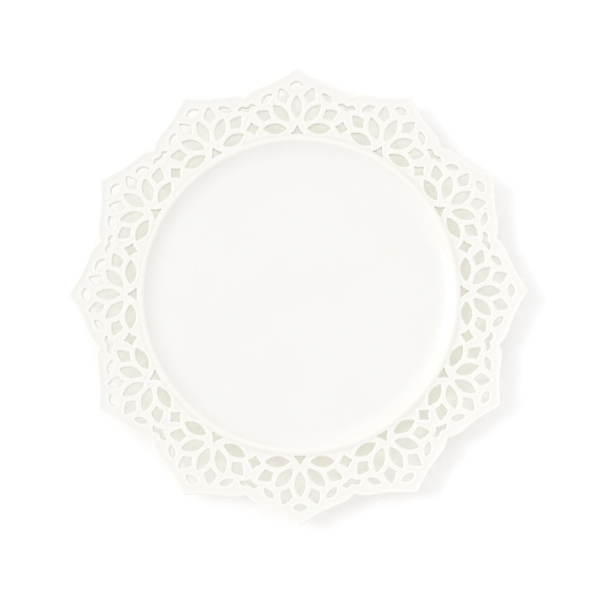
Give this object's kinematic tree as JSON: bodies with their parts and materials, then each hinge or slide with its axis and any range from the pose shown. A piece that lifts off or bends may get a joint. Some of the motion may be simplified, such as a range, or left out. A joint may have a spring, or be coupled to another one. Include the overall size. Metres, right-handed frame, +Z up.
{
  "type": "openwork plate",
  "caption": "Round white glazed plate with a shallow round well, a rounded crest and a wide pierced lace rim of pointed lobes, on an unglazed foot ring.",
  "frame": {"origin": "centre of the foot ring, on the surface that the plate stands on", "axes": "+Z up out of the well along the plate's axis; a lobe points along each of +X, +Y, -X and -Y"},
  "size_m": [0.2216, 0.2216, 0.0126],
  "materials": {
    "glaze": "glossy warm white glaze over white porcelain",
    "bisque": "unglazed, fine and matt, on the ring that stood in the kiln"
  },
  "bodies": {
    "root": {"dish": "glaze", "foot_ring": "bisque", "lace_lobe_01": "glaze", "lace_lobe_02": "glaze", "lace_lobe_03": "glaze", "lace_lobe_04": "glaze", "lace_lobe_05": "glaze", "lace_lobe_06": "glaze", "lace_lobe_07": "glaze", "lace_lobe_08": "glaze", "lace_lobe_09": "glaze", "lace_lobe_10": "glaze", "lace_lobe_11": "glaze", "lace_lobe_12": "glaze"}
  },
  "joints": []
}
